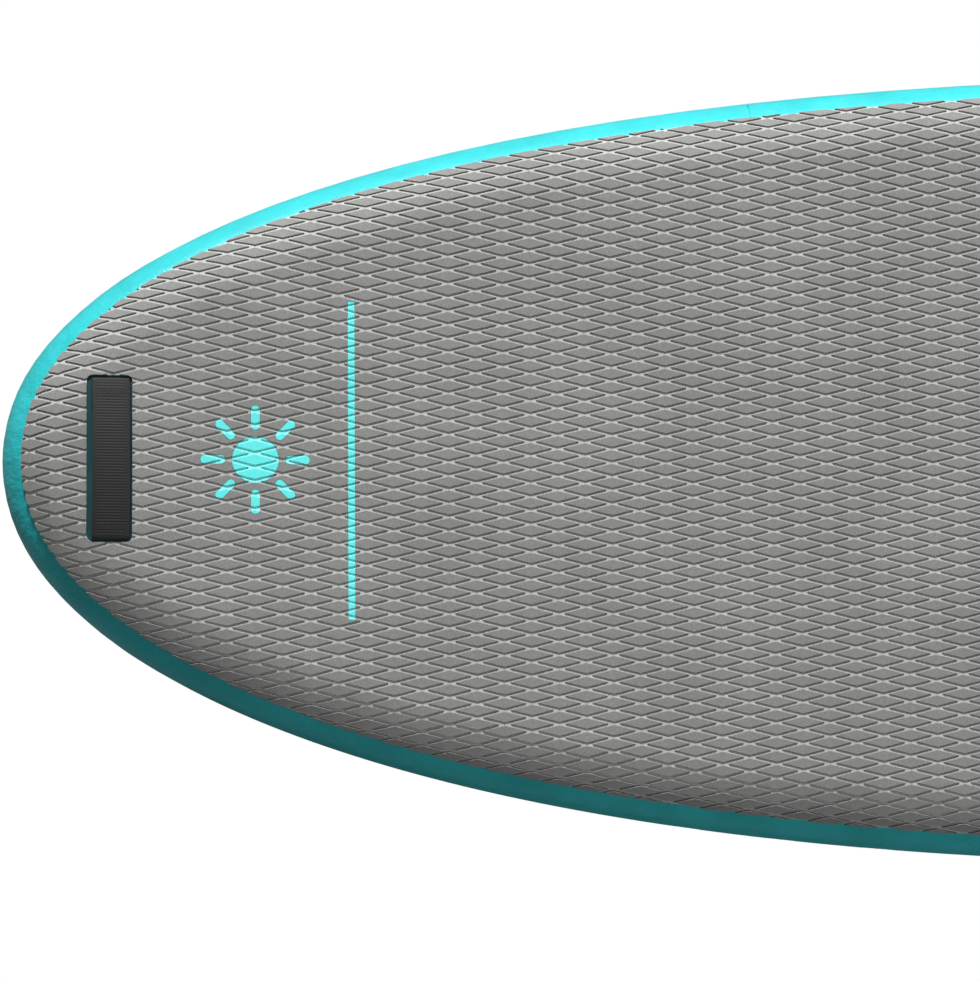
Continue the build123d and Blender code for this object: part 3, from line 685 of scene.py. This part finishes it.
pad_sheet()
grey_parts, line_bm, mark_bm = tread()
for number, part_bm in enumerate(grey_parts):
    lay_piece(part_bm)
    piece = finish_piece(part_bm, f"deck_pad_tread_{number + 1}", [PAD_GREY])
add_base(line_bm, line_shape())
for shape in mark_shapes():
    add_base(mark_bm, shape)
for part_bm, node_name in ((line_bm, "pad_inlay_line"), (mark_bm, "pad_inlay_mark")):
    lay_piece(part_bm)
    piece = finish_piece(part_bm, node_name + "_tread", [INLAY_TOP, INLAY_GROOVE])
    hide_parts(node_name)


# ---------------------------------------------------------------- webbing handles
def deck_frame(x, lengthwise=False):
    """Matrix of a place on the deck: local Y along a strap, local Z out of the deck."""
    step = 0.001
    slope = float(rise(x + step) - rise(x - step)) / (2 * step)
    fore = Vector((1, 0, slope)).normalized()
    up = Vector((-slope, 0, 1)).normalized()
    port = Vector((0, 1, 0))
    first, second = (port, -fore) if lengthwise else (fore, port)
    place = Matrix((first, second, up)).transposed().to_4x4()
    return Matrix.Translation((x, 0, float(rise(x)) + BOARD_THICKNESS)) @ place


def strap_line(length, height, step):
    """Middle line of a strap, foot to foot, as (along, up, slope angle, distance)."""
    fold = length / 2 - FOLD_RADIUS - WEBBING_THICKNESS / 2
    low = ON_PATCH + WEBBING_THICKNESS / 2
    top = low + 2 * FOLD_RADIUS
    radius = (fold ** 2 + height ** 2) / (2 * height)
    half = math.asin(fold / radius)
    runs = [("line", STRAP_FOOT), ("fold", math.pi * FOLD_RADIUS), ("arch", 2 * half * radius),
            ("fold", math.pi * FOLD_RADIUS), ("line", STRAP_FOOT)]
    points, distance = [], 0.0
    for number, (kind, extent) in enumerate(runs):
        count = max(6, round(extent / step))
        for i in range(count if number < 4 else count + 1):
            share = i / count
            if kind == "line":
                along = fold - STRAP_FOOT * (1 - share) if number == 0 else -fold + STRAP_FOOT * share
                points.append((along, low, 0.0 if number == 0 else 2 * math.pi, distance + extent * share))
            elif kind == "fold":
                turn = math.pi * share
                if number == 1:
                    points.append((fold + FOLD_RADIUS * math.sin(turn),
                                   low + FOLD_RADIUS * (1 - math.cos(turn)), turn, distance + extent * share))
                else:
                    points.append((-fold - FOLD_RADIUS * math.sin(turn),
                                   low + FOLD_RADIUS * (1 + math.cos(turn)), math.pi + turn,
                                   distance + extent * share))
            else:
                turn = half * (1 - 2 * share)
                points.append((radius * math.sin(turn), top + height - radius * (1 - math.cos(turn)),
                               math.pi - turn, distance + extent * share))
        distance += extent
    return points


def ribbed_strap(name, node_name, frame_matrix, length, height):
    """Webbing with raised ribs between plain selvages, folded under at both ends."""
    half = STRAP_WIDTH / 2
    rib_edge = half - SELVAGE
    columns = [-half, -half + 0.0005, -rib_edge - 0.0003, -rib_edge, -rib_edge / 2, 0,
               rib_edge / 2, rib_edge, rib_edge + 0.0003, half - 0.0005, half]
    bm = bmesh.new()
    rows = []
    for along, up, angle, distance in strap_line(length, height, RIB_PITCH / 6):
        rib = RIB_HEIGHT * (0.5 + 0.5 * math.cos(2 * math.pi * distance / RIB_PITCH))
        row = []
        for side in (1, -1):
            for across in columns if side == 1 else columns[::-1]:
                edge = abs(across) > half - 0.0001
                thick = WEBBING_THICKNESS / 2 - RIB_HEIGHT
                if edge:
                    thick *= 0.55
                else:
                    thick += rib if abs(across) <= rib_edge else RIB_HEIGHT * 0.3
                # the outside of the strap is below its foot and above its arch
                reach = -side * thick
                row.append(bm.verts.new((across, along + math.sin(angle) * -reach,
                                         up + math.cos(angle) * reach)))
        rows.append(row)
    for one, two in zip(rows, rows[1:]):
        for i in range(len(one)):
            j = (i + 1) % len(one)
            bm.faces.new([one[i], one[j], two[j], two[i]])
    bm.faces.new(rows[0])
    bm.faces.new(rows[-1][::-1])
    bm.transform(frame_matrix)
    piece = finish_piece(bm, name, [WEBBING])
    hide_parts(node_name)
    for face in piece.data.polygons:
        face.use_smooth = True
    return piece


def stitch_rows(name, frame_matrix, length, height):
    """Rows of sewing across a strap near both its ends."""
    line = strap_line(length, height, 0.0005)
    bm = bmesh.new()
    arch = [point for point in line if point[1] > ON_PATCH + FOLD_RADIUS * 2]
    count = int((STRAP_WIDTH - 0.005) / STITCH_PITCH)
    size = Matrix.Diagonal((STITCH_LENGTH / 2, STITCH_THICKNESS / 2, STITCH_THICKNESS / 2, 1))
    for end in (1, -1):
        for inset in STITCH_ROWS:
            along = end * (length / 2 - inset)
            near = min(arch, key=lambda point: abs(point[0] - along))
            for i in range(count):
                across = (i - (count - 1) / 2) * STITCH_PITCH
                place = Matrix.Translation((across, near[0], near[1] + WEBBING_THICKNESS / 2))
                bmesh.ops.create_uvsphere(bm, u_segments=8, v_segments=6, radius=1,
                                          matrix=place @ size)
    bm.transform(frame_matrix)
    piece = finish_piece(bm, name, [THREAD])
    for face in piece.data.polygons:
        face.use_smooth = True
    return piece


def patch_sheet(name, node_name, x, size):
    """The glued patch under a handle, seen in the pad's opening; its near-black teal is painted shade, the
    strap's shadow on the turquoise skin.
    """
    length, width = size[0] + 2 * PATCH_MARGIN, size[1] + 2 * PATCH_MARGIN
    bm = bmesh.new()
    bmesh.ops.create_grid(bm, x_segments=10, y_segments=24, size=0.5)
    bmesh.ops.scale(bm, vec=(length, width, 1), verts=bm.verts)
    bmesh.ops.translate(bm, vec=(x, 0, PATCH_TOP + PATCH_SEAT), verts=bm.verts)
    made = bmesh.ops.extrude_face_region(bm, geom=bm.faces[:])
    raised = [v for v in made["geom"] if isinstance(v, bmesh.types.BMVert)]
    bmesh.ops.translate(bm, vec=(0, 0, ON_PATCH - PATCH_TOP - 2 * PATCH_SEAT), verts=raised)
    lay_piece(bm)
    piece = finish_piece(bm, name, [PATCH_PAINTED_SHADE])
    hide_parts(node_name)


patch_sheet("nose_handle_patch_sheet", "nose_handle_patch", NOSE_HANDLE_X, END_OPENING)
patch_sheet("tail_handle_patch_sheet", "tail_handle_patch", TAIL_HANDLE_X, END_OPENING)

for handle, place, size in (("nose", deck_frame(NOSE_HANDLE_X), END_HANDLE),
                            ("tail", deck_frame(TAIL_HANDLE_X), END_HANDLE),
                            ("centre", deck_frame(0.0, True), CENTRE_HANDLE)):
    ribbed_strap(f"{handle}_handle_ribbed_strap", f"{handle}_handle_webbing", place, *size)
    stitch_rows(f"{handle}_handle_stitches", place, *size)


# ---------------------------------------------------------------- studio
FLOOR_HALF_SIZE = 30
FLOOR_GREY = 0.14             # what the floor sends back onto the board; it shows white to the eye
SKY, SKY_STRENGTH = (0.95, 0.98, 1.0), 0.20

CAMERA_PLACE = (1.17141, 0.24782, 3.41139)
CAMERA_RIGHT, CAMERA_UP = (-0.998875, 0.005803, 0.047069), (-0.002611, -0.997709, 0.067600)
CAMERA_LENS, CAMERA_SENSOR = 113.42, 36.0


def area_light(name, place, target, size, power):
    lamp = bpy.data.lights.new(name, "AREA")
    lamp.shape, lamp.size, lamp.size_y = "RECTANGLE", size[0], size[1]
    lamp.energy = power
    item = bpy.data.objects.new(name, lamp)
    bpy.context.scene.collection.objects.link(item)
    item.location = place
    item.rotation_euler = (Vector(target) - Vector(place)).to_track_quat("-Z", "Y").to_euler()


def studio():
    """A floor under the fins, a pale sky, a high key light and low lights for the sides."""
    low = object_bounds()[0][2]
    floor_mesh = bpy.data.meshes.new("studio_floor")
    bm = bmesh.new()
    bmesh.ops.create_grid(bm, x_segments=1, y_segments=1, size=FLOOR_HALF_SIZE)
    bm.to_mesh(floor_mesh)
    bm.free()
    floor = bpy.data.objects.new("studio_floor", floor_mesh)
    floor.location = (0, 0, low)
    bpy.context.scene.collection.objects.link(floor)
    material, nodes, links, shader = new_material("studio_floor")
    shader.inputs["Base Color"].default_value = (FLOOR_GREY, FLOOR_GREY, FLOOR_GREY, 1)
    shader.inputs["Roughness"].default_value = 0.9
    pale = add(nodes, "ShaderNodeEmission", Strength=1.0)
    pale.inputs["Color"].default_value = (1, 1, 1, 1)
    path, mix = nodes.new("ShaderNodeLightPath"), nodes.new("ShaderNodeMixShader")
    links.new(path.outputs["Is Camera Ray"], mix.inputs[0])
    links.new(shader.outputs[0], mix.inputs[1])
    links.new(pale.outputs[0], mix.inputs[2])
    links.new(mix.outputs[0], nodes["Material Output"].inputs["Surface"])
    floor_mesh.materials.append(material)
    floor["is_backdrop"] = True
    world = bpy.data.worlds.new("studio")
    bpy.context.scene.world = world
    world.use_nodes = True
    background = world.node_tree.nodes["Background"]
    background.inputs["Color"].default_value = (*SKY, 1)
    background.inputs["Strength"].default_value = SKY_STRENGTH
    area_light("key_light", (1.6, -6.4, 5.2), (0.6, 0, 0.2), (1.6, 1.6), 860)
    area_light("rail_light", (0.5, -2.6, 0.25), (0.5, -0.4, 0.1), (4.0, 0.35), 42)
    area_light("tail_light", (-4.8, 2.2, 1.4), (-0.9, 0.2, 0.1), (2.4, 1.4), 110)
    area_light("fin_light", (-1.6, -0.6, low + 0.02), (-0.9, 0.0, 0.0), (1.2, 1.2), 3)
    bpy.context.scene.view_settings.view_transform = "Standard"


def camera():
    data = bpy.data.cameras.new("camera")
    data.lens, data.sensor_width = CAMERA_LENS, CAMERA_SENSOR
    item = bpy.data.objects.new("camera", data)
    bpy.context.scene.collection.objects.link(item)
    right, up = Vector(CAMERA_RIGHT), Vector(CAMERA_UP)
    back = right.cross(up).normalized()
    turn = Matrix((right, up, back)).transposed().to_4x4()
    item.matrix_world = Matrix.Translation(CAMERA_PLACE) @ turn
    bpy.context.scene.camera = item


studio()
camera()
